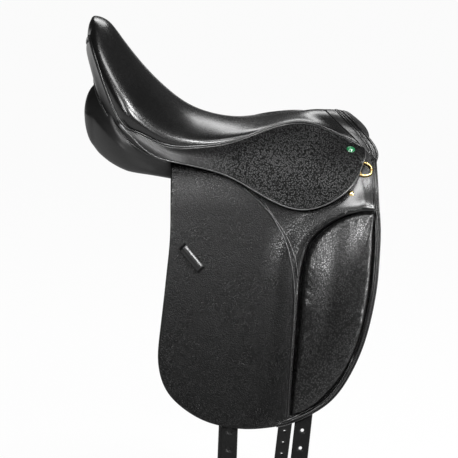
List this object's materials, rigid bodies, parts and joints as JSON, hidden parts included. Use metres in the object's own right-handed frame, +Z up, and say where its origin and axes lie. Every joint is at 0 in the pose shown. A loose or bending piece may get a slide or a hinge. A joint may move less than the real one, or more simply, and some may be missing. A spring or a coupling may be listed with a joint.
{
  "type": "dressage saddle",
  "caption": "Dressage saddle with deep seat, long straight flaps with knee blocks, lifting skirts over stirrup bars, flocked panels and hanging girth billets.",
  "frame": {"origin": "on the horse's spine line, under the deepest part of the seat", "axes": "+X to the horse's head, +Y to its left, +Z up"},
  "size_m": [0.4448, 0.6324, 0.9001],
  "materials": {
    "seat_leather": "smooth calf, semi-gloss",
    "grain_leather": "pebbled grain, satin",
    "skirt_leather": "pebbled grain, dry",
    "panel_leather": "smooth, satin",
    "strap_leather": "smooth strap leather",
    "webbing": "woven",
    "foam": "open cell foam",
    "tree_plastic": "moulded",
    "steel": "forged and brushed",
    "brass": "polished",
    "nail_enamel": "green enamel"
  },
  "bodies": {
    "root": {"tree": "tree_plastic", "head_arch": "steel", "arch_rivets": "steel", "seat_web": "webbing", "seat_foam": "foam", "seat_cover": "seat_leather", "cantle_facing": "seat_leather", "pommel_facing": "seat_leather", "gullet_lining": "panel_leather", "panel_left": "panel_leather", "panel_right": "panel_leather", "sweat_flap_left": "panel_leather", "sweat_flap_right": "panel_leather", "flap_head_left": "grain_leather", "flap_head_right": "grain_leather", "skirt_left": "skirt_leather", "skirt_right": "skirt_leather", "saddle_nails": "nail_enamel", "flap_studs": "brass", "stirrup_bar_left": "steel", "stirrup_bar_right": "steel", "catch_pins": "steel", "bar_rivets": "steel", "billet_webs_left": "webbing", "billet_webs_right": "webbing", "dee_chape_left": "strap_leather", "dee_chape_right": "strap_leather"},
    "flap_left": {"flap_left": "grain_leather", "knee_block_left": "grain_leather", "keeper_left": "grain_leather"},
    "skirt_lobe_left": {"skirt_lobe_left": "skirt_leather"},
    "bar_catch_left": {"bar_catch_left": "steel"},
    "dee_ring_left": {"dee_ring_left": "brass"},
    "flap_right": {"flap_right": "grain_leather", "knee_block_right": "grain_leather", "keeper_right": "grain_leather"},
    "skirt_lobe_right": {"skirt_lobe_right": "skirt_leather"},
    "bar_catch_right": {"bar_catch_right": "steel"},
    "dee_ring_right": {"dee_ring_right": "brass"},
    "front_billet_left": {"front_billet_left": "strap_leather"},
    "front_billet_right": {"front_billet_right": "strap_leather"},
    "rear_billet_left": {"rear_billet_left": "strap_leather"},
    "rear_billet_right": {"rear_billet_right": "strap_leather"}
  },
  "joints": [
    {"name": "flap_lift_left", "type": "hinge", "parent": "root", "child": "flap_left", "pos_m": [0.07, 0.148, -0.038], "axis": [1, 0, 0], "range_deg": [0, 75]},
    {"name": "skirt_lift_left", "type": "hinge", "parent": "root", "child": "skirt_lobe_left", "pos_m": [0.1025, 0.112, 0.0245], "axis": [0.9792, -0.1815, 0.0908], "range_deg": [0, 100]},
    {"name": "catch_turn_left", "type": "hinge", "parent": "root", "child": "bar_catch_left", "pos_m": [0.0725, 0.108, 0.006], "axis": [0, 1, 0], "range_deg": [0, 45]},
    {"name": "dee_swing_left", "type": "hinge", "parent": "root", "child": "dee_ring_left", "pos_m": [0.19925, 0.10073, 0.01959], "axis": [0.2883, -0.7258, 0.6246], "range_deg": [0, 38]},
    {"name": "flap_lift_right", "type": "hinge", "parent": "root", "child": "flap_right", "pos_m": [0.07, -0.148, -0.038], "axis": [-1, 0, 0], "range_deg": [0, 75]},
    {"name": "skirt_lift_right", "type": "hinge", "parent": "root", "child": "skirt_lobe_right", "pos_m": [0.1025, -0.112, 0.0245], "axis": [-0.9792, -0.1815, -0.0908], "range_deg": [0, 100]},
    {"name": "catch_turn_right", "type": "hinge", "parent": "root", "child": "bar_catch_right", "pos_m": [0.0725, -0.108, 0.006], "axis": [0, 1, 0], "range_deg": [0, 45]},
    {"name": "dee_swing_right", "type": "hinge", "parent": "root", "child": "dee_ring_right", "pos_m": [0.19925, -0.10073, 0.01959], "axis": [-0.2883, -0.7258, -0.6246], "range_deg": [0, 38]},
    {"name": "front_billet_swing_left", "type": "hinge", "parent": "root", "child": "front_billet_left", "pos_m": [0.146, 0.14088, -0.034], "axis": [0, 0.9632, 0.2689], "range_deg": [-6, 5]},
    {"name": "front_billet_swing_right", "type": "hinge", "parent": "root", "child": "front_billet_right", "pos_m": [0.146, -0.14088, -0.034], "axis": [0, 0.9632, -0.2689], "range_deg": [-6, 4]},
    {"name": "rear_billet_swing_left", "type": "hinge", "parent": "root", "child": "rear_billet_left", "pos_m": [0.012, 0.14088, -0.034], "axis": [0, 0.9632, 0.2689], "range_deg": [-4, 6]},
    {"name": "rear_billet_swing_right", "type": "hinge", "parent": "root", "child": "rear_billet_right", "pos_m": [0.012, -0.14088, -0.034], "axis": [0, 0.9632, -0.2689], "range_deg": [-4, 6]}
  ]
}
